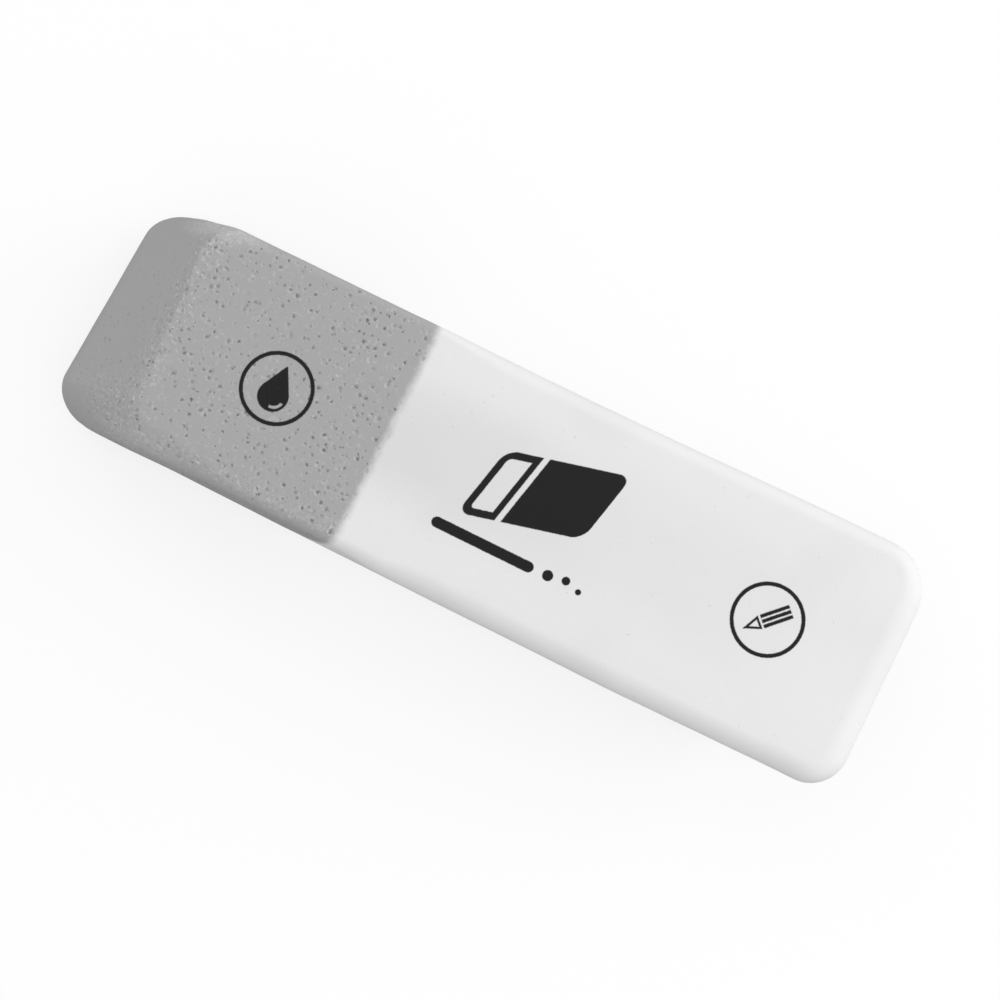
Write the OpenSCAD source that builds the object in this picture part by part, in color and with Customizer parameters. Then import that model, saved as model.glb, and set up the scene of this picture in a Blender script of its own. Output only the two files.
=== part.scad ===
// Rubber eraser of two compounds: a leaning block with every edge tumbled soft, lying on a broad face.
// A gritty grey end rubs out ink and a smooth white end rubs out pencil, cured together along a leaning seam.
// +X runs along the length towards the white end, +Z is up, and the origin is under the middle of the block.

/* [Block] */
// Overall length, from tip to tip
length = 58; // [45:0.5:80]
// Width across the broad faces
width = 16.8; // [12:0.2:25]
// Thickness between the broad faces
thickness = 9; // [7:0.5:12]
// How far the top is shifted ahead of the bottom, which leans both ends and the seam
lean = 5.2; // [2:0.1:8]

/* [Tumbled edges] */
// Rounding of the upright corners, seen from above
corner_r = 3; // [2.5:0.1:4]
// Rounding of the two acute edges: under the ink end and on top of the pencil end
nose_r = 2; // [1:0.1:2.4]
// Rounding of the two blunt edges: on top of the ink end and under the pencil end
ridge_r = 1.3; // [0.5:0.1:2]
// What tumbling has worn off each side of the block at the top of the ink end
ridge_wear = 0.6; // [0:0.1:1.5]

/* [Compounds] */
// Length of the ink end along the top, from the block's tip to the seam
ink_length = 22.1; // [15:0.1:35]

/* [Hidden] */

// Straight pieces in a full turn of every rounding
$fn = 48;
// The block's two tips along X
ink_tip = -length / 2;
pencil_tip = length / 2;

// Where the seam stands along X at a height above the base
function seam_x(z) = ink_tip + ink_length - lean * (1 - z / thickness);

// A flat disc with a fully rounded rim: what one upright corner is at the top or at the bottom
module corner_disc(rim_r) {
    rim = [for (angle = [-90 : 360 / $fn : 90])
        [corner_r - rim_r + rim_r * cos(angle), rim_r * sin(angle)]];
    rotate_extrude()
        polygon(concat([[0, -rim_r]], rim, [[0, rim_r]]));
}

// The pair of discs at the two ends of one edge across the block, each moved in by the wear on its side
module edge_discs(x, z, rim_r, wear = 0) {
    for (side = [-1, 1])
        translate([x, side * (width / 2 - corner_r - wear), z])
            corner_disc(rim_r);
}

// The whole block: its long edges change slowly from the blunt rounding to the acute one
module block() {
    hull() {
        edge_discs(ink_tip + corner_r, nose_r, nose_r);
        edge_discs(ink_tip + corner_r + lean, thickness - ridge_r, ridge_r, ridge_wear);
        edge_discs(pencil_tip - corner_r, thickness - nose_r, nose_r);
        edge_discs(pencil_tip - corner_r - lean, ridge_r, ridge_r);
    }
}

// The space on the ink side of the seam, which passes the block by its own thickness all round
module ink_side() {
    low = -thickness;
    high = 2 * thickness;
    rotate([90, 0, 0])
        linear_extrude(height = width + 2 * thickness, center = true)
            polygon([
                [ink_tip - thickness, low],
                [seam_x(low), low],
                [seam_x(high), high],
                [ink_tip - thickness, high]
            ]);
}

module ink_end() {
    color("#aaaaaa")
        intersection() {
            block();
            ink_side();
        }
}

module pencil_end() {
    color("#e8e8e8")
        difference() {
            block();
            ink_side();
        }
}

ink_end();
pencil_end();
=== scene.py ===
"""Dresses the rubber eraser: a gritty grey ink end and a smooth white pencil end on a studio floor."""
import math
from collections import namedtuple

import bmesh
import bpy
from mathutils import Matrix, Vector, noise
from mathutils.geometry import interpolate_bezier


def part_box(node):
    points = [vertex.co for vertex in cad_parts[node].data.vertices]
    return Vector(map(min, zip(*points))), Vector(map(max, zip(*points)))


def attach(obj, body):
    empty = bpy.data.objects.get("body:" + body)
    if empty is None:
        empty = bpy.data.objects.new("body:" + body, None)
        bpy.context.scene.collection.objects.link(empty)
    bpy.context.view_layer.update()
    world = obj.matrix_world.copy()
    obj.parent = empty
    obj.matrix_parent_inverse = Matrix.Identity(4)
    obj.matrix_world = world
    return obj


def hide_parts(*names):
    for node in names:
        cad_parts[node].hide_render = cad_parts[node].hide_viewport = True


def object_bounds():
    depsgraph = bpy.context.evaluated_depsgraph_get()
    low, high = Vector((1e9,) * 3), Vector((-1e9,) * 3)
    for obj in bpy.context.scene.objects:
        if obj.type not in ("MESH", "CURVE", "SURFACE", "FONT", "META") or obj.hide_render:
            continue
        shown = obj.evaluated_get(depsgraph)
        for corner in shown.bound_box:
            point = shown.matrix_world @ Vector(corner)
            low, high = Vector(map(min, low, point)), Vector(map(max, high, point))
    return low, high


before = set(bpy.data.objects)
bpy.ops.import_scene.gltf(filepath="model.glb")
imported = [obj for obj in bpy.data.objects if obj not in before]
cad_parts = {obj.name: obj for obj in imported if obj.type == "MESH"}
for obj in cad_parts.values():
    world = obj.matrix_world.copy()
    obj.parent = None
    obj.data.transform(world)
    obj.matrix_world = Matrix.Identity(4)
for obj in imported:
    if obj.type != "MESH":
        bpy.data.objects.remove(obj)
CAD_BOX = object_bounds()

bl_info = {
    "name": "Rubber eraser",
    "version": (1, 0, 0),
    "blender": (4, 5, 0),
    "location": "View3D > Sidebar > Eraser",
    "description": "Builds a tumbled rubber eraser of two compounds with its prints and studio stage",
    "category": "Add Mesh",
}

MM = 0.001
INK_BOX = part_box("ink_end")
PENCIL_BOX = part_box("pencil_end")
WHITE = (1.0, 1.0, 1.0, 1.0)
# Half the width of the floor, in metres
FLOOR_HALF = 3.0

# The block's ends along X and its sides along Y
INK = -1
PENCIL = 1
FRONT = -1
BACK = 1


def length_prop(name, description, default):
    """A length that the panel shows, in metres."""
    return bpy.props.FloatProperty(
        name=name, description=description, default=default, unit="LENGTH", precision=5
    )


def place_prop(name, description, default):
    """A place seen from above, in metres."""
    return bpy.props.FloatVectorProperty(
        name=name, description=description, default=default, size=2, unit="LENGTH", precision=5
    )


def pair_prop(name, description, foot, head):
    """A length at the base and another at the top, given in millimetres."""
    return bpy.props.FloatVectorProperty(
        name=name, description=description + ", at the base and at the top",
        default=(foot * MM, head * MM), size=2, unit="LENGTH", precision=5,
    )


def tone_prop(name, description, grey):
    """A neutral colour that the panel shows."""
    return bpy.props.FloatVectorProperty(
        name=name, description=description, default=(grey, grey, grey, 1.0), size=4,
        subtype="COLOR", min=0.0, max=1.0,
    )


def way_prop(name, default):
    """The direction of a lamp."""
    return bpy.props.FloatVectorProperty(
        name=name, description="Direction that the lamp's light comes from", default=default,
        subtype="DIRECTION",
    )


def power_prop(name, description, watts):
    """The power of a lamp."""
    return bpy.props.FloatProperty(
        name=name, description=description, default=watts, min=0.0, unit="POWER"
    )


def strength_prop(name, description, share):
    """The strength of plain light, as a share of white."""
    return bpy.props.FloatProperty(
        name=name, description=description, default=share, min=0.0, max=1.0, subtype="FACTOR"
    )


def angle_prop(name, description, degrees):
    """An angle that the panel shows."""
    return bpy.props.FloatProperty(
        name=name, description=description, default=math.radians(degrees), subtype="ANGLE"
    )


class BlockSizes(bpy.types.PropertyGroup):
    """The tumbled block: its overall sizes come from the frame, and its edges are worn unevenly."""

    length: length_prop("Length", "From tip to tip", CAD_BOX[1][0] - CAD_BOX[0][0])
    width: length_prop("Width", "Across the broad faces", CAD_BOX[1][1] - CAD_BOX[0][1])
    thickness: length_prop("Thickness", "Between the broad faces", CAD_BOX[1][2] - CAD_BOX[0][2])
    ink_length: length_prop("Ink end", "From the tip to the seam on top", INK_BOX[1][0] - INK_BOX[0][0])
    lean: length_prop("Lean", "Shift of the top ahead of the base", INK_BOX[1][0] - PENCIL_BOX[0][0])
    ink_wear: pair_prop("Ink wear", "Width that tumbling has taken off the ink end", 0.39, 0.93)
    pencil_wear: pair_prop("Pencil wear", "Width that tumbling has taken off the pencil end", 0.41, 0.04)
    skew: length_prop("Skew", "How much further the ink end reaches at the front", 0.55 * MM)
    ink_front_corner: pair_prop("Ink front corner", "Rounding seen from above", 2.53, 3.20)
    ink_back_corner: pair_prop("Ink back corner", "Rounding seen from above", 3.00, 2.50)
    pencil_front_corner: pair_prop("Pencil front corner", "Rounding seen from above", 3.35, 2.61)
    pencil_back_corner: pair_prop("Pencil back corner", "Rounding seen from above", 3.23, 3.51)
    nose: length_prop("Nose", "Rounding of the acute edge under the ink end", 2.4 * MM)
    heel: length_prop("Heel", "Rounding of the blunt edge under the pencil end", 1.3 * MM)
    brow: length_prop("Brow", "Rounding of the acute edge on top of the pencil end", 1.9 * MM)
    ridge_front: length_prop("Worn ridge", "Rounding of the ink end's top edge at the front", 1.8 * MM)
    ridge_back: length_prop("Crisp ridge", "Rounding of the ink end's top edge at the back", 0.35 * MM)
    ridge_corner: length_prop("Worn back corner", "Rounding of the top back edge at the ridge", 0.8 * MM)
    dish: length_prop("Dish", "How far the ridge is hollowed between its corners", 0.5 * MM)
    ink_front: length_prop("Front edge, ink", "Rounding of the grey part's top front edge", 0.6 * MM)
    ink_back: length_prop("Back edge, ink", "Rounding of the grey part's top back edge", 0.55 * MM)
    pencil_front: length_prop("Front edge, pencil", "Rounding of the white part's top front edge", 1.5 * MM)
    pencil_back: length_prop("Back edge, pencil", "Rounding of the white part's top back edge", 1.1 * MM)
    long_change: length_prop("Change of edges", "Length over which those roundings change", 7.0 * MM)
    base_long: length_prop("Base edges", "Rounding of the long edges underneath", 1.4 * MM)
    belly: length_prop("Belly", "How far the sides of the ink end swell at its corners", 0.11 * MM)
    front_wear: length_prop("Front wear", "How far the ink end's front side is worn in on top", 0.35 * MM)
    crown: length_prop("Crown", "How far the top face falls to its edges", 0.14 * MM)
    droop: length_prop("Droop", "How far the top falls towards the tip of the pencil end", 0.25 * MM)
    bow: length_prop("Bow", "How far the middle of the block is bent to the front", 0.25 * MM)
    wobble: length_prop("Wobble", "How far tumbling has moved the surface", 0.06 * MM)
    slow_wave: length_prop("Slow wave", "Length of the broad wobbles", 9.0 * MM)
    quick_wave: length_prop("Quick wave", "Length of the small wobbles", 2.6 * MM)
    seed: bpy.props.IntProperty(name="Seed", description="Which wobble tumbling has left", default=7, min=1)


class RubberLook(bpy.types.PropertyGroup):
    """Tones of the two compounds and of the print, with painted shade for the pits and pores and painted
    highlights for the pit lips.
    """

    ink: tone_prop("Ink rubber", "Grey compound filled with grit", 0.406)
    ink_dusk: tone_prop("Dusk", "Darker clouds in the grey compound", 0.374)
    # Painted shade at the bottom of pits and pores, and also the colour of dark grime
    ink_pit_shade_and_grime: tone_prop("Pits", "Bottom of a pit in the grey compound", 0.10)
    # Pale grit, and also painted highlights on the pit lips and painted light on the back corner
    ink_grain_and_highlight: tone_prop("Grains", "Pale grit that shows in the grey compound", 0.68)
    pencil: tone_prop("Pencil rubber", "White compound", 0.815)
    # Colour of the random dull patches and of the darker band along the middle
    pencil_haze: tone_prop("Haze", "Handled patches on the white compound", 0.715)
    # Colour of stray specks, and of the painted shade in the pores
    pencil_speck_and_pore_shade: tone_prop("Specks", "Stray specks in the white compound", 0.45)
    print_black: tone_prop("Print", "Black printing ink", 0.012)


class PrintSizes(bpy.types.PropertyGroup):
    """Where the prints lie on the top face, and how large they are."""

    ink_sign: place_prop("Ink sign", "Middle of the ring with a drop", (-14.55 * MM, -0.43 * MM))
    block_sign: place_prop("Block sign", "Middle of the rubbing block", (3.58 * MM, 0.17 * MM))
    pencil_sign: place_prop("Pencil sign", "Middle of the ring with a pencil", (20.1 * MM, 0.14 * MM))
    ring: length_prop("Ring", "Radius of a sign's ring", 2.3 * MM)
    stroke: length_prop("Stroke", "Width of a ring's line", 0.27 * MM)


class StageSettings(bpy.types.PropertyGroup):
    """The camera and the studio light."""

    azimuth: angle_prop("Azimuth", "Camera's turn about the upright axis", 26.18)
    elevation: angle_prop("Elevation", "Camera's height above the horizon", 86.0)
    distance: length_prop("Distance", "From the block's middle to the camera", 106.65 * MM)
    aim: place_prop("Aim", "Point at half height that the camera looks at", (1.35 * MM, -0.273 * MM))
    lens: bpy.props.FloatProperty(name="Lens", description="Focal length", default=57.6, unit="CAMERA")
    dome: strength_prop("Dome", "Strength of the light from all round", 0.84)
    key: power_prop("Key", "Power of the lamp at the back right", 1.12)
    key_from: way_prop("Key from", (0.80, 0.54, 0.26))
    fill: power_prop("Fill", "Power of the lamp at the back left", 0.20)
    fill_from: way_prop("Fill from", (-0.86, 0.42, 0.30))
    lamp_size: length_prop("Lamp size", "Width of each lamp's disc", 0.34)
    lamp_distance: length_prop("Lamp distance", "From the block to each lamp", 0.45)
    floor: tone_prop("Floor", "Colour of the floor under light", 0.25)
    floor_lift: strength_prop("Lift", "Light added to the floor where the camera sees it", 0.75)


class Value:
    """A number that changes over a surface: a socket that Python sums can be written on."""

    def __init__(self, shader, socket):
        self.shader = shader
        self.socket = socket

    def out(self, name):
        """Another output of the same node."""
        return Value(self.shader, self.socket.node.outputs[name])

    def math(self, operation, *others):
        """The result of a Math node that takes this value first."""
        return self.shader.math(operation, self, *others)

    def __add__(self, other):
        return self.math("ADD", other)

    __radd__ = __add__

    def __sub__(self, other):
        return self.math("SUBTRACT", other)

    def __rsub__(self, other):
        return self.shader.math("SUBTRACT", other, self)

    def __mul__(self, other):
        return self.math("MULTIPLY", other)

    __rmul__ = __mul__

    def __truediv__(self, other):
        return self.math("DIVIDE", other)

    def __rtruediv__(self, other):
        return self.shader.math("DIVIDE", other, self)

    def __neg__(self):
        return self.math("MULTIPLY", -1.0)

    def __abs__(self):
        return self.math("ABSOLUTE")

    def __lt__(self, other):
        return self.math("LESS_THAN", other)

    def __gt__(self, other):
        return self.math("GREATER_THAN", other)


def most(first, *others):
    """The largest of several values."""
    for other in others:
        first = first.math("MAXIMUM", other)
    return first


def least(first, *others):
    """The smallest of several values."""
    for other in others:
        first = first.math("MINIMUM", other)
    return first


def spread(share, start, end):
    """A value that goes from start to end as a share rises from 0 to 1."""
    return share * (end - start) + start


def distance(x, y):
    """How far a point is from the middle."""
    return (x * x + y * y).math("SQRT")


class Shader:
    """A node tree that is written as sums of values."""

    def __init__(self, tree):
        self.tree = tree
        tree.nodes.clear()

    def node(self, kind, settings=None, inputs=None, output=0):
        """Adds a node, sets it up and joins its inputs, and gives one of its outputs."""
        made = self.tree.nodes.new(kind)
        for name, setting in (settings or {}).items():
            setattr(made, name, setting)
        for key, given in (inputs or {}).items():
            if isinstance(given, Value):
                self.tree.links.new(given.socket, made.inputs[key])
            else:
                made.inputs[key].default_value = given
        return Value(self, made.outputs[output]) if made.outputs else None

    def math(self, operation, *terms):
        """Maths on numbers."""
        return self.node("ShaderNodeMath", {"operation": operation}, dict(enumerate(terms)))

    def vector(self, operation, inputs):
        """Maths on places, whose three numbers stay apart."""
        return self.node("ShaderNodeVectorMath", {"operation": operation}, inputs)

    def blend(self, share, start, end):
        """A colour between two others."""
        inputs = {0: share, 6: start, 7: end}
        return self.node("ShaderNodeMix", {"data_type": "RGBA"}, inputs, output=2)

    def ease(self, value, low, high):
        """Rises smoothly from 0 at low to 1 at high, and falls where low is above high."""
        inputs = {"Value": value, "From Min": low, "From Max": high}
        return self.node("ShaderNodeMapRange", {"interpolation_type": "SMOOTHSTEP"}, inputs)

    def in_sight(self):
        """1 where the camera, a reflection or a clear piece looks, and 0 where light is only shed."""
        seen = self.node("ShaderNodeLightPath", {}, {}, "Is Camera Ray")
        return most(seen, seen.out("Is Glossy Ray"), seen.out("Is Transmission Ray"))

    def cloud(self, place, per_mm, detail=2.0, rough=0.5):
        """Soft noise between 0 and 1."""
        inputs = {"Vector": place, "Scale": per_mm, "Detail": detail, "Roughness": rough}
        return self.node("ShaderNodeTexNoise", {}, inputs)

    def stirred(self, place, per_mm, reach):
        """A place that noise moves about, by up to about a reach in millimetres."""
        middle = (0.5, 0.5, 0.5)
        # Noise seldom strays further than this from its middle
        usual_swing = 1.0 / 3.0
        swing = self.vector("SUBTRACT", {0: self.cloud(place, per_mm).out("Color"), 1: middle})
        move = self.vector("SCALE", {0: swing, "Scale": reach / usual_swing})
        return self.vector("ADD", {0: place, 1: move})

    def spots(self, place, per_mm, smallest, largest):
        """Scattered spots with radii in millimetres, more of them small.

        Gives how far a point is from the middle of the nearest spot, in that spot's radii, and its lot,
        which is a number from 0 to 1.
        """
        cells = self.node("ShaderNodeTexVoronoi", {}, {"Vector": place, "Scale": per_mm})
        lot = self.node("ShaderNodeSeparateColor", {}, {"Color": cells.out("Color")})
        radius = spread(lot * lot, smallest, largest)
        return cells / (radius * per_mm), lot.out("Green")


# A shape on the top face is how far outside it a point lies, in millimetres, and is negative inside


def either(*shapes):
    """The shape that joins several shapes."""
    return least(*shapes)


def both(*shapes):
    """The shape where several shapes overlap."""
    return most(*shapes)


def without(first, *others):
    """The first shape with the others cut away."""
    return most(first, *(-other for other in others))


def turned(x, y, degrees):
    """Coordinates along axes that are turned by an angle."""
    c = math.cos(math.radians(degrees))
    s = math.sin(math.radians(degrees))
    return x * c + y * s, y * c - x * s


def bar(x, y, half_x, half_y, rounding):
    """A rectangle with rounded corners."""
    over_x = abs(x) - (half_x - rounding)
    over_y = abs(y) - (half_y - rounding)
    outside = distance(most(over_x, 0.0), most(over_y, 0.0))
    inside = least(most(over_x, over_y), 0.0)
    return outside + inside - rounding


def rod(x, y, half_x, half_y):
    """A bar with round ends."""
    past = most(abs(x) - (half_x - half_y), 0.0)
    return distance(past, y) - half_y


def drop(x, y, bulb_r, tip_r, height):
    """A hanging drop: a round bulb at the middle that narrows to a tip above it."""
    slope = (bulb_r - tip_r) / height
    rise = math.sqrt(1.0 - slope * slope)
    side = abs(x)
    flank = side * rise + y * slope - bulb_r
    along = y * rise - side * slope
    bulb = distance(x, y) - bulb_r
    tip = distance(x, y - height) - tip_r
    return flank + (along < 0.0) * (bulb - flank) + (along > rise * height) * (tip - flank)


def ring_sign(x, y, prints):
    """The ring that frames a sign."""
    return abs(distance(x, y) - prints.ring / MM) - prints.stroke / MM / 2


def drop_sign(x, y, prints):
    """A drop in a ring, for ink, with a curved shine low on its right."""
    shine_r = 0.62
    shine_half = 0.09
    body = drop(x, y + 0.55, bulb_r=1.02, tip_r=0.06, height=2.05)
    curve = abs(distance(x - 0.1, y + shine_r) - shine_r) - shine_half
    shine = both(curve, 0.05 - x, y + 0.75)
    return either(ring_sign(x, y, prints), without(body, shine))


def pencil_sign(x, y, prints):
    """A plain pencil in a ring, for pencil: a shaft with two grooves, an outlined cone and a lead."""
    along, across = turned(x, y, 45.0)
    groove_at = 0.17
    groove_half = 0.05
    tip = -1.72
    taper = 0.38
    lead_end = -1.22
    cone_end = -0.5
    line_half = 0.08
    shaft = bar(along - 0.62, across, half_x=1.0, half_y=0.46, rounding=0.06)
    grooves = abs(abs(across) - groove_at) - groove_half
    flank = (abs(across) - (along - tip) * taper) / math.hypot(1.0, taper)
    cone = both(flank, along - cone_end)
    outline = abs(cone + line_half) - line_half
    lead = both(cone, along - lead_end)
    return either(ring_sign(x, y, prints), without(shaft, grooves), outline, lead)


def block_sign(x, y):
    """A leaning block that rubs out a line, with crumbs beside it."""
    along, across = turned(x - 0.25, y - 0.85, 14.0)
    lean = 0.5
    wall = 0.5
    gap_at = -1.45
    gap_half = 0.2
    hollow_end = -2.1
    slid = along - across * lean
    block = bar(slid, across, half_x=4.1, half_y=2.3, rounding=0.8)
    gap = abs(slid - gap_at) - gap_half
    hollow = both(block + wall, slid - hollow_end)
    line = rod(x + 1.9, y + 3.75, half_x=3.6, half_y=0.36)
    places = ((2.7, 3.7, 0.36), (3.9, 3.5, 0.28), (4.9, 3.8, 0.2))
    crumbs = [distance(x - right, y + down) - radius for right, down, radius in places]
    return either(without(block, gap, hollow), line, *crumbs)


class RubberShader(Shader):
    """What both compounds share: the place on the block, the seam and the finished surface."""

    def __init__(self, tree, block):
        super().__init__(tree)
        coordinates = self.node("ShaderNodeTexCoord", {}, {}, "Object")
        self.place = self.vector("SCALE", {0: coordinates, "Scale": 1.0 / MM})
        self.x = self.node("ShaderNodeSeparateXYZ", {}, {0: self.place})
        self.y = self.x.out("Y")
        self.z = self.x.out("Z")
        facing = self.node("ShaderNodeSeparateXYZ", {}, {0: coordinates.out("Normal")})
        self.up = facing.out("Z")
        self.sideways = abs(facing.out("Y"))
        seam_top = (block.ink_length - block.length / 2) / MM
        slope = block.lean / block.thickness
        square = 1.0 / math.hypot(1.0, slope)
        self.past_seam = (self.x - seam_top + (block.thickness / MM - self.z) * slope) * square
        self.on_top = self.z > block.thickness / MM / 2

    def ragged(self, per_mm, reach, detail=2.0, rough=0.5):
        """Noise on both sides of 0, which makes an edge uneven by a reach in millimetres."""
        return (self.cloud(self.place, per_mm, detail, rough) - 0.5) * reach

    def counted_from(self, spot):
        """Coordinates in millimetres from a spot that is given in metres."""
        return self.x - spot[0] / MM, self.y - spot[1] / MM

    def seam_share(self):
        """How much of the white compound shows: the two are smeared together at the seam."""
        return self.ease(self.past_seam + self.ragged(1.1, reach=0.45, detail=3.0), -0.30, 0.42)

    def bared_edges(self, block):
        """Where tumbling has bared the grit of the ink end's top edges, and where they are painted paler: a
        streak at the front, and the back corner, whose paleness is partly painted light from the lamps.
        """
        top = block.thickness / MM
        from_ridge = self.x - (block.lean - block.length / 2 + block.ridge_back) / MM
        half_width = (block.width - block.ink_wear[1]) / 2 / MM
        from_front = self.y + half_width
        from_back = self.y - half_width
        ragged = self.ragged(0.9, reach=2.4, detail=3.0, rough=0.7)

        # How far a point is from the middle of each worn patch, against where the patch fades and is full
        along_ridge = self.ease(abs(from_ridge - 0.8) + ragged, 1.5, 0.3)
        along_front = self.ease(abs(from_front - 0.9) + ragged, 1.1, 0.1) * 0.8
        to_corner = distance(from_ridge + 0.6, from_front - 1.2)
        at_front = self.ease(to_corner + ragged, 4.2, 0.8)
        to_corner = distance((from_ridge - 0.2) * 0.4, from_back + 0.1)
        at_back = self.ease(to_corner + ragged * 0.5, 1.9, 0.4)
        to_streak = distance((from_ridge - 2.4) * 0.22, from_front - 0.65)
        streak = self.ease(to_streak + ragged * 0.2, 1.2, 0.2) * 0.45

        upper = self.ease(self.z, top * 0.3, top * 0.75)
        bared = most(along_ridge, along_front, at_front, at_back) * upper
        # The second mask pales the back corner, partly as painted light, and a streak at the front
        return bared, most(at_back, streak) * upper

    def printed(self, shape):
        """Where a shape is printed: its edge follows the grain of the rubber."""
        return self.ease(shape + self.ragged(9.0, reach=0.06), 0.04, -0.04) * self.on_top

    def finish(self, colour, roughness, height):
        """Joins the colour, the roughness and the relief in millimetres to the surface."""
        normal = self.node("ShaderNodeBump", {}, {"Strength": 1.0, "Distance": MM, "Height": height})
        inputs = {
            "Base Color": colour,
            "Roughness": roughness,
            "Normal": normal,
            "Specular IOR Level": 0.15,
        }
        surface = self.node("ShaderNodeBsdfPrincipled", {}, inputs)
        self.node("ShaderNodeOutputMaterial", {}, {"Surface": surface})


def new_material(name):
    """A material that is ready for nodes."""
    material = bpy.data.materials.new(name)
    material.use_nodes = True
    return material


def ink_rubber(block, look, prints):
    """Grey compound: fine grit with pits and pores darkened by painted shade, painted highlights on the pit
    lips, and pale grains that tumbling has bared at the edges.
    """
    material = new_material("ink_rubber")
    shader = RubberShader(material.node_tree, block)
    place = shader.place
    stirred = shader.stirred(place, per_mm=5.0, reach=0.07)

    fine = shader.cloud(place, 6.0, detail=3.0, rough=0.6)
    broad = shader.cloud(place, 0.5, detail=3.0)
    broken = shader.cloud(place, 4.0, detail=3.0, rough=0.65)
    crowd = shader.ease(shader.cloud(place, 0.8), 0.28, 0.52)
    bared, scuffed_and_lit = shader.bared_edges(block)
    on_top = shader.ease(shader.up, 0.62, 0.93)
    on_sides = shader.ease(shader.sideways, 0.80, 0.97) * 0.7
    pitted = most(on_top, on_sides, bared * 0.65)

    # Pits, each with a dent round it, painted shade inside it and a broken pale lip that is a painted
    # highlight
    way, lot = shader.spots(stirred, per_mm=2.3, smallest=0.07, largest=0.15)
    depth = spread(lot, 0.45, 1.0) * spread(crowd, 0.4, 1.0) * spread(pitted, 0.04, 1.0)
    # How much painted shade darkens the inside of a pit
    pit = shader.ease(way, 1.0, 0.45) * depth
    dent = shader.ease(way, 1.8, 0.2) * depth
    rim = shader.ease(way, 2.2, 1.6) * shader.ease(way, 1.0, 1.4)
    # A painted highlight on part of each pit's lip
    lip_highlight = rim * depth * shader.ease(broken, 0.44, 0.58)
    # Pores, which are smaller and fainter, with painted shade inside them
    way, lot = shader.spots(stirred, per_mm=3.6, smallest=0.03, largest=0.09)
    pore = shader.ease(way, 1.0, 0.4) * spread(lot, 0.1, 0.6) * spread(pitted, 0.05, 1.0)
    # Pale grains and dark grime, which show only where an edge is bared
    way, lot = shader.spots(stirred, per_mm=3.2, smallest=0.06, largest=0.17)
    lump = shader.ease(way, 1.0, 0.4) * spread(lot, 0.2, 0.8)
    grit = shader.ease(broken, 0.50, 0.68) * 0.6
    grain = most(lump, grit) * bared
    grime = shader.ease(broken, 0.46, 0.30) * bared * 0.2

    colour = shader.blend(fine * 0.30 + broad * 0.40, look.ink, look.ink_dusk)
    # Pale grit, a paler back corner that is partly painted light, and painted highlights on the pit lips
    colour = shader.blend(scuffed_and_lit * 0.42 + grain * 0.7 + lip_highlight * 0.36, colour, look.ink_grain_and_highlight)
    # Painted shade in the pits and pores, and dark grime where an edge is bared
    colour = shader.blend(most(pit * 0.8, pore * 0.5, grime), colour, look.ink_pit_shade_and_grime)
    colour = shader.blend(shader.seam_share(), colour, look.pencil)
    x, y = shader.counted_from(prints.ink_sign)
    printed = shader.printed(drop_sign(x, y, prints))
    colour = shader.blend(printed, colour, look.print_black)

    height = fine * 0.012 + grain * 0.04 - dent * 0.09 - pore * 0.02
    shader.finish(colour, 0.82 - printed * 0.2, height)
    return material


def pencil_rubber(block, look, prints):
    """White compound: smooth and chalky, with handled patches, a darker band along the middle, faint specks
    and a few pores darkened by painted shade.
    """
    material = new_material("pencil_rubber")
    shader = RubberShader(material.node_tree, block)
    place = shader.place
    stirred = shader.stirred(place, per_mm=3.0, reach=0.15)

    fine = shader.cloud(place, 4.0, detail=3.0, rough=0.6)
    broad = shader.cloud(place, 0.16, detail=3.0)
    # Patches that handling has dulled at random, and a band along the middle that is darker near the seam
    # and short of the tip
    handled = shader.ease(broad, 0.42, 0.70) * 0.25
    along_middle = shader.ease(abs(shader.y - 0.3) + (broad - 0.5) * 4.0, 5.6, 1.2)
    near_seam = shader.ease(shader.x, 11.0, -3.0) * 0.5
    short_of_tip = shader.ease(shader.x, 23.0, 17.0) * 0.35
    darker_middle = along_middle * (near_seam + short_of_tip)

    # Stray specks, and pores with painted shade inside them
    way, lot = shader.spots(stirred, per_mm=0.7, smallest=0.03, largest=0.28)
    speck = shader.ease(way, 1.0, 0.2) * lot * lot
    way, lot = shader.spots(stirred, per_mm=1.5, smallest=0.02, largest=0.10)
    pore = shader.ease(way, 1.0, 0.4) * lot

    # Random dull patches, and the middle darker than the long edges and the tip
    colour = shader.blend(handled + darker_middle + fine * 0.12, look.pencil, look.pencil_haze)
    # Stray specks, and painted shade in the pores
    colour = shader.blend(speck * 0.18 + pore * 0.06, colour, look.pencil_speck_and_pore_shade)
    colour = shader.blend(shader.seam_share(), look.ink, colour)
    x, y = shader.counted_from(prints.block_sign)
    rubbing = block_sign(x, y)
    x, y = shader.counted_from(prints.pencil_sign)
    printed = shader.printed(either(rubbing, pencil_sign(x, y, prints)))
    colour = shader.blend(printed, colour, look.print_black)

    height = fine * 0.008 - pore * 0.03
    shader.finish(colour, 0.78 - printed * 0.18, height)
    return material


# An upright corner at its foot or its head, as a flat disc with a rounded rim: the X of the block's end
# there, the Y of the disc's middle, its radius, the rounding of its rim towards the end and towards the
# side, and how far the end is hollowed beside it
Disc = namedtuple("Disc", "tip y plan end_rim side_rim dish")

# Steps of the mesh: up the lower rim, the wall and the upper rim of an outline, then along the long
# sides of each compound, round a corner and across an end
LOW_STEPS = 12
WALL_STEPS = 12
HIGH_STEPS = 18
SIDE_STEPS = {INK: 44, PENCIL: 88}
CORNER_STEPS = 20
END_STEPS = 36

# Points that are closer than this, in metres, are one
MERGE_DISTANCE = 1e-7

# Height over which the wobble grows from nothing at the flat base
GRIP_HEIGHT = 2.0 * MM
# Size of the small wobbles against the broad ones, and where in the noise they start
QUICK_SHARE = 0.3
QUICK_START = Vector((7.0, 3.0, 5.0))
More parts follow.
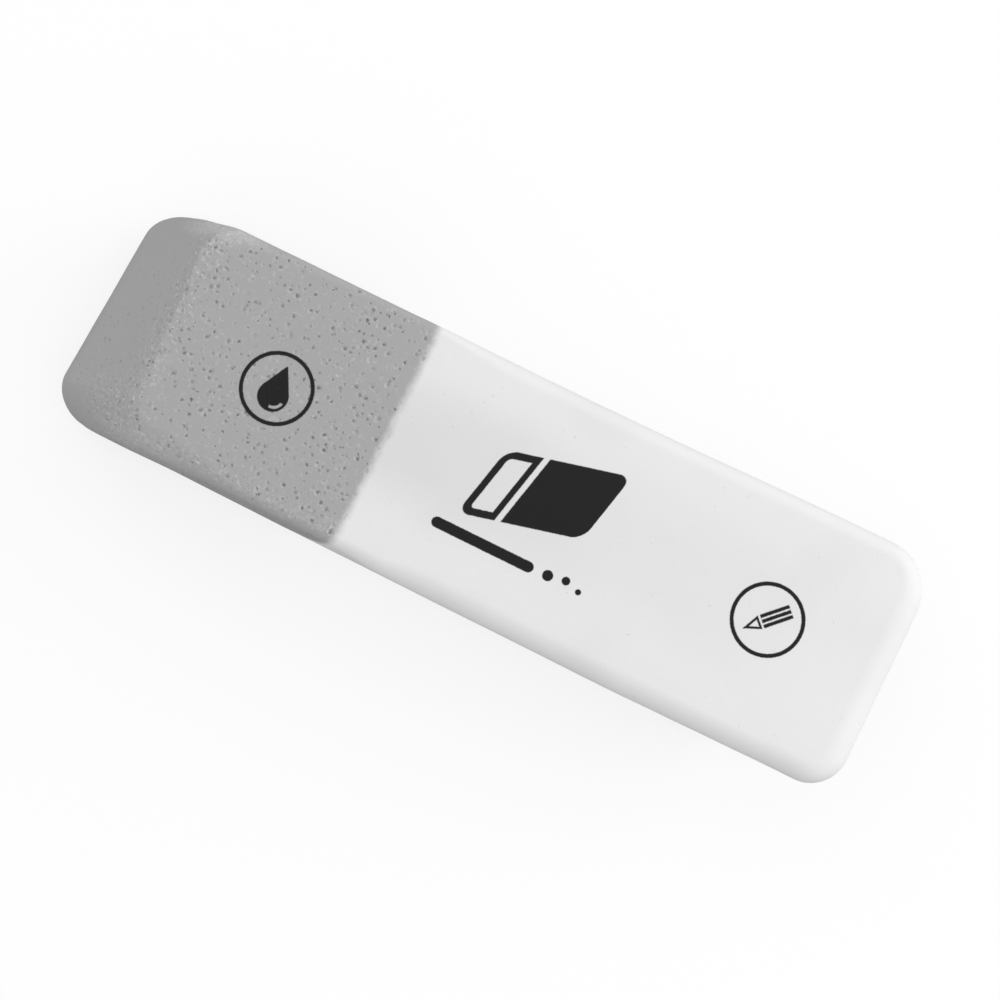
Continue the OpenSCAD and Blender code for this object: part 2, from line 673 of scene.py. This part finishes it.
# Square of the share of the half length at which the bow moves nothing
BOW_EVEN = 0.65
# The front wear: the height where it starts, the band at the front where it sets in and is full, and
# where it ends past the seam, as shares of the thickness, the half width and the change of edges
WEAR_FROM = 0.65
WEAR_BAND = (0.6, 0.9)
WEAR_END = (0.48, 0.08)


def eased(value, low, high):
    """Rises smoothly from 0 at low to 1 at high, and falls where low is above high."""
    share = min(1.0, max(0.0, (value - low) / (high - low)))
    return share * share * (3 - 2 * share)


def find_corner(block, end, side):
    """An upright corner as the discs at its foot and its head."""
    front = side == FRONT
    if end == INK:
        plans = block.ink_front_corner if front else block.ink_back_corner
        wear = block.ink_wear
        tip = -block.length / 2 + (0.0 if front else block.skew)
        end_rims = (block.nose, block.ridge_front if front else block.ridge_back)
        side_rim = block.ridge_front if front else block.ridge_corner
        dish = block.dish
    else:
        plans = block.pencil_front_corner if front else block.pencil_back_corner
        wear = block.pencil_wear
        tip = block.length / 2 - block.lean
        end_rims = (block.heel, block.brow)
        side_rim = block.pencil_front if front else block.pencil_back
        dish = 0.0
    foot_y, head_y = (side * ((block.width - lost) / 2 - plan) for lost, plan in zip(wear, plans))
    foot = Disc(tip, foot_y, plans[0], end_rims[0], block.base_long, 0.0)
    head = Disc(tip + block.lean, head_y, plans[1], end_rims[1], side_rim, dish)
    return foot, head


def worn_between(front, back, share):
    """A disc between the front and the back one, whose rounding soon falls to that of the back one."""
    mixed = Disc(*(a + (b - a) * share for a, b in zip(front, back)))
    rim = back.end_rim + (front.end_rim - back.end_rim) * (1 - share) ** 3
    return mixed._replace(tip=mixed.tip + mixed.dish * 4 * share * (1 - share), end_rim=rim)


def arc(middle, plan, rim, turn, start, stop, steps):
    """Points along a rounded rim, from one tilt to another, in the upright plane that faces turn."""
    points = []
    for step in range(steps + 1):
        tilt = start + (stop - start) * step / steps
        reach = plan - rim + rim * math.cos(tilt)
        offset = Vector((reach * math.cos(turn), reach * math.sin(turn), rim * math.sin(tilt)))
        points.append(middle + offset)
    return points


def upright_line(block, end, corner, turn, fullness):
    """The block's outline from its base to its top on the side of a corner that faces turn."""
    foot, head = corner
    endwise = math.cos(turn) ** 2
    low = foot.side_rim + (foot.end_rim - foot.side_rim) * endwise
    high = head.side_rim + (head.end_rim - head.side_rim) * endwise
    bottom = Vector((foot.tip - end * foot.plan, foot.y, low))
    top = Vector((head.tip - end * head.plan, head.y, block.thickness - high))
    facing = Vector((math.cos(turn), math.sin(turn), 0.0))
    shift = (top - bottom).dot(facing) + head.plan - high - foot.plan + low
    rise = block.thickness - low - high
    tilt = math.asin((low - high) / math.hypot(shift, rise)) - math.atan2(shift, rise)
    swell = 4 * block.belly * fullness * math.sin(turn) ** 2 / math.hypot(shift, rise)
    lower = arc(bottom, foot.plan, low, turn, -math.pi / 2, tilt - swell, LOW_STEPS)
    upper = arc(top, head.plan, high, turn, tilt + swell, math.pi / 2, HIGH_STEPS)
    start = lower[-1]
    stop = upper[0]
    height = (stop - start).length

    def climb(at):
        """A third of the way up the wall, along a wall that is tilted."""
        return (Vector((0.0, 0.0, math.cos(at))) - facing * math.sin(at)) * height / 3

    leave = start + climb(tilt - swell)
    enter = stop - climb(tilt + swell)
    wall = interpolate_bezier(start, leave, enter, stop, WALL_STEPS + 1)
    return lower + wall[1:-1] + upper


def seam_shares(block, near, far):
    """Where the seam crosses a long side, as shares of the way from one end's outline to the other's."""
    slope = block.lean / block.thickness
    base = block.ink_length - block.length / 2 - block.lean
    shares = []
    for a, b in zip(near, far):
        shares.append((base + slope * a.z - a.x) / (b.x - a.x - slope * (b.z - a.z)))
    return shares


def between(first, second, shares):
    """Points on the ways from one line's points to another's."""
    return [a.lerp(b, share) for a, b, share in zip(first, second, shares)]


def long_rim(block, side, x):
    """Rounding of a top long edge along the block: most by the worn corner and on the white compound."""
    front = side == FRONT
    crisp = block.ink_front if front else block.ink_back
    soft = block.pencil_front if front else block.pencil_back
    corner = block.ridge_front if front else block.ridge_corner
    from_tip = x + block.length / 2
    from_corner = from_tip - block.lean - block.ink_front_corner[1]
    from_seam = from_tip - block.ink_length
    change = block.long_change
    worn = (corner - crisp) * eased(from_corner, change, 0.0)
    return crisp + worn + (soft - crisp) * eased(from_seam, -0.1 * change, 0.9 * change)


def long_line(block, end, near, far, side, share):
    """An outline on a long side, at a share of the way from one end's corner to the seam."""
    sideways = side * math.pi / 2
    start = near[1].tip - end * near[1].plan
    way = (block.ink_length - block.length / 2 - start) * share
    rim = long_rim(block, side, start + way)
    fullness = eased(abs(way), block.long_change, 0.0) if end == INK else 0.0
    here = upright_line(block, end, (near[0], near[1]._replace(side_rim=rim)), sideways, fullness)
    there = upright_line(block, -end, (far[0], far[1]._replace(side_rim=rim)), sideways, fullness)
    return between(here, there, [crossing * share for crossing in seam_shares(block, here, there)])


def outlines(block, end):
    """Upright outlines round one compound, from the seam at the front to the seam at the back."""
    near = {side: find_corner(block, end, side) for side in (FRONT, BACK)}
    far = {side: find_corner(block, -end, side) for side in (FRONT, BACK)}
    fullness = 1.0 if end == INK else 0.0
    shares = [1 - step / SIDE_STEPS[end] for step in range(SIDE_STEPS[end])]
    found = {}
    for side in (FRONT, BACK):
        sideways = side * math.pi / 2
        endways = side * math.pi if end == INK else 0.0
        sweep = endways - sideways
        turns = [sideways + sweep * step / CORNER_STEPS for step in range(CORNER_STEPS + 1)]
        long_side = [long_line(block, end, near[side], far[side], side, share) for share in shares]
        rounding = [upright_line(block, end, near[side], turn, fullness) for turn in turns]
        found[side] = long_side + rounding
    across = []
    for step in range(1, END_STEPS):
        corner = [worn_between(*discs, step / END_STEPS) for discs in zip(near[FRONT], near[BACK])]
        across.append(upright_line(block, end, corner, math.pi if end == INK else 0.0, 0.0))
    return found[FRONT] + across + found[BACK][::-1]


def straight(start, stop, steps):
    """Points at even steps from one to another."""
    return [start.lerp(stop, step / steps) for step in range(steps + 1)]


def patch(front, back, first, last):
    """A grid of points that fills four edges: front and back run from first to last."""
    columns = len(front) - 1
    rows = len(first) - 1
    grid = []
    for i in range(columns + 1):
        u = i / columns
        row = []
        for k in range(rows + 1):
            v = k / rows
            ruled = front[i] * (1 - v) + back[i] * v + first[k] * (1 - u) + last[k] * u
            near = front[0] * (1 - v) + back[0] * v
            far = front[-1] * (1 - v) + back[-1] * v
            row.append(ruled - (near * (1 - u) + far * u))
        grid.append(row)
    return grid


def compound_grids(block, end):
    """Grids of points that close one compound: its walls, its base, its top and, last, its seam face."""
    lines = outlines(block, end)
    # The base and the top are filled from the seam to the end, whose edge starts at mid corner
    bend = SIDE_STEPS[end] + CORNER_STEPS // 2
    last = len(lines) - 1
    grids = [lines]
    seams = []
    for level in (0, -1):
        rim = [line[level] for line in lines]
        seam = straight(rim[0], rim[-1], last - 2 * bend)
        seams.append(seam)
        grids.append(patch(rim[:bend + 1], rim[:last - bend - 1:-1], seam, rim[bend:last - bend + 1]))
    grids.append(patch(lines[0], lines[-1], *seams))
    return grids


def tumbled(point, block):
    """Where tumbling has left a point: a crowned top, a slight bow and a slow wobble over a flat base."""
    along = 2 * point.x / block.length
    across = 2 * point.y / block.width
    up = point.z / block.thickness
    slow = noise.noise_vector(point / block.slow_wave)
    quick = noise.noise_vector(point / block.quick_wave + QUICK_START) * QUICK_SHARE
    grip = min(1.0, max(0.0, point.z / GRIP_HEIGHT))
    # The surface is drawn in by the size of the wobble, so that none of it leaves the block's box
    outward = Vector((along, across, up))
    moved = point + ((slow + quick) * grip - outward) * block.wobble
    moved.y += block.bow * (along * along - BOW_EVEN)
    past_seam = point.x + block.length / 2 - block.ink_length
    on_ink = eased(past_seam / block.long_change, *WEAR_END)
    at_front = eased(-across, *WEAR_BAND)
    near_top = max(0.0, up - WEAR_FROM) / (1 - WEAR_FROM)
    moved.y += block.front_wear * on_ink * at_front * near_top ** 2
    crown = block.crown * (across ** 4 + 2 * along ** 8)
    droop = block.droop * max(0.0, along) ** 4
    moved.z -= (crown + droop) * up
    return moved


def build_compound(name, block, end, material):
    """One compound as a closed mesh of quads, cut along the block's lean at the seam."""
    noise.seed_set(block.seed)
    grids = compound_grids(block, end)
    mesh = bmesh.new()
    cut = mesh.faces.layers.int.new("cut")
    for grid in grids:
        made = [[mesh.verts.new(tumbled(point, block)) for point in row] for row in grid]
        for here, there in zip(made, made[1:]):
            for k in range(len(here) - 1):
                face = mesh.faces.new((here[k], here[k + 1], there[k + 1], there[k]))
                face.smooth = True
                face[cut] = int(grid is grids[-1])
    bmesh.ops.remove_doubles(mesh, verts=mesh.verts, dist=MERGE_DISTANCE)
    bmesh.ops.recalc_face_normals(mesh, faces=mesh.faces)
    for edge in mesh.edges:
        edge.smooth = len({face[cut] for face in edge.link_faces}) == 1
    mesh.faces.layers.int.remove(cut)
    data = bpy.data.meshes.new(name)
    mesh.to_mesh(data)
    mesh.free()
    data.materials.append(material)
    piece = bpy.data.objects.new(name, data)
    bpy.context.scene.collection.objects.link(piece)
    return piece


def place_camera(stage, block):
    """Puts the camera where it sees the block from above, turned so that the block slants."""
    turn = stage.azimuth
    rise = stage.elevation
    back = Vector((math.sin(turn) * math.cos(rise), -math.cos(turn) * math.cos(rise), math.sin(rise)))
    middle = Vector((0.0, 0.0, block.thickness / 2))
    spot = middle + back * stage.distance
    look = (Vector((stage.aim[0], stage.aim[1], block.thickness / 2)) - spot).normalized()
    right = look.cross(Vector((-math.sin(turn), math.cos(turn), 0.0))).normalized()
    above = right.cross(look)
    data = bpy.data.cameras.new("camera")
    data.sensor_width = 36.0
    data.lens = stage.lens
    data.clip_start = 0.005
    data.clip_end = 20.0
    camera = bpy.data.objects.new("camera", data)
    camera.matrix_world = Matrix.Translation(spot) @ Matrix((right, above, -look)).transposed().to_4x4()
    bpy.context.scene.collection.objects.link(camera)
    bpy.context.scene.camera = camera
    return camera


def place_lamp(stage, name, power, way):
    """A large soft lamp that shines on the block from one way."""
    data = bpy.data.lights.new(name, "AREA")
    data.shape = "DISK"
    data.size = stage.lamp_size
    data.energy = power
    lamp = bpy.data.objects.new(name, data)
    lamp.location = Vector(way).normalized() * stage.lamp_distance
    lamp.rotation_euler = lamp.location.to_track_quat("Z", "Y").to_euler()
    bpy.context.scene.collection.objects.link(lamp)
    return lamp


def place_floor(stage):
    """A plain floor that reads white and keeps the block's shadow."""
    corners = [(x * FLOOR_HALF, y * FLOOR_HALF, 0.0) for x, y in ((-1, -1), (1, -1), (1, 1), (-1, 1))]
    data = bpy.data.meshes.new("floor")
    data.from_pydata(corners, [], [(0, 1, 2, 3)])
    material = new_material("floor")
    shader = Shader(material.node_tree)
    seen = shader.in_sight()
    lit = shader.node("ShaderNodeBsdfDiffuse", {}, {"Color": stage.floor})
    lift = shader.node("ShaderNodeEmission", {}, {"Strength": seen * stage.floor_lift})
    surface = shader.node("ShaderNodeAddShader", {}, {0: lit, 1: lift})
    shader.node("ShaderNodeOutputMaterial", {}, {"Surface": surface})
    data.materials.append(material)
    floor = bpy.data.objects.new("floor", data)
    bpy.context.scene.collection.objects.link(floor)
    return floor


def light_world(stage):
    """Even light from all round, which reads white where the camera sees it."""
    world = bpy.data.worlds.new("studio")
    world.use_nodes = True
    shader = Shader(world.node_tree)
    strength = spread(shader.in_sight(), stage.dome, 1.0)
    surface = shader.node("ShaderNodeBackground", {}, {"Color": WHITE, "Strength": strength})
    shader.node("ShaderNodeOutputWorld", {}, {"Surface": surface})
    bpy.context.scene.world = world


class BuildInkEnd(bpy.types.Operator):
    """Builds the grey ink end with its print"""

    bl_idname = "eraser.build_ink_end"
    bl_label = "Build ink end"
    bl_options = {"REGISTER", "UNDO"}

    def execute(self, context):
        scene = context.scene
        material = ink_rubber(scene.eraser_block, scene.eraser_look, scene.eraser_prints)
        piece = build_compound("ink_rubber_block", scene.eraser_block, INK, material)
        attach(piece, "root")
        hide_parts("ink_end")
        return {"FINISHED"}


class BuildPencilEnd(bpy.types.Operator):
    """Builds the white pencil end with its prints"""

    bl_idname = "eraser.build_pencil_end"
    bl_label = "Build pencil end"
    bl_options = {"REGISTER", "UNDO"}

    def execute(self, context):
        scene = context.scene
        material = pencil_rubber(scene.eraser_block, scene.eraser_look, scene.eraser_prints)
        piece = build_compound("pencil_rubber_block", scene.eraser_block, PENCIL, material)
        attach(piece, "root")
        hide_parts("pencil_end")
        return {"FINISHED"}


class BuildStage(bpy.types.Operator):
    """Sets the floor, the light and the camera"""

    bl_idname = "eraser.build_stage"
    bl_label = "Build stage"
    bl_options = {"REGISTER", "UNDO"}

    def execute(self, context):
        scene = context.scene
        stage = scene.eraser_stage
        scene.view_settings.view_transform = "Standard"
        light_world(stage)
        key = place_lamp(stage, "key", stage.key, stage.key_from)
        fill = place_lamp(stage, "fill", stage.fill, stage.fill_from)
        place_floor(stage)
        place_camera(stage, scene.eraser_block)
        return {"FINISHED"}


class EraserPanel(bpy.types.Panel):
    """Sizes, tones and the build steps of the eraser"""

    bl_idname = "VIEW3D_PT_eraser"
    bl_label = "Rubber eraser"
    bl_space_type = "VIEW_3D"
    bl_region_type = "UI"
    bl_category = "Eraser"

    def draw(self, context):
        for name, group in GROUPS.items():
            box = self.layout.box()
            box.label(text=group.__doc__.split(":")[0].rstrip("."))
            values = getattr(context.scene, name)
            for prop in group.__annotations__:
                box.prop(values, prop)
        for step in STEPS:
            self.layout.operator(step.bl_idname)


GROUPS = {
    "eraser_block": BlockSizes,
    "eraser_look": RubberLook,
    "eraser_prints": PrintSizes,
    "eraser_stage": StageSettings,
}
STEPS = (BuildInkEnd, BuildPencilEnd, BuildStage)
CLASSES = (*GROUPS.values(), *STEPS, EraserPanel)


def register():
    for cls in CLASSES:
        bpy.utils.register_class(cls)
    for name, group in GROUPS.items():
        setattr(bpy.types.Scene, name, bpy.props.PointerProperty(type=group))


def unregister():
    for name in GROUPS:
        delattr(bpy.types.Scene, name)
    for cls in reversed(CLASSES):
        bpy.utils.unregister_class(cls)


def main():
    """Builds the eraser on its stage."""
    register()
    bpy.ops.eraser.build_ink_end()
    bpy.ops.eraser.build_pencil_end()
    bpy.ops.eraser.build_stage()


if __name__ == "__main__":
    main()
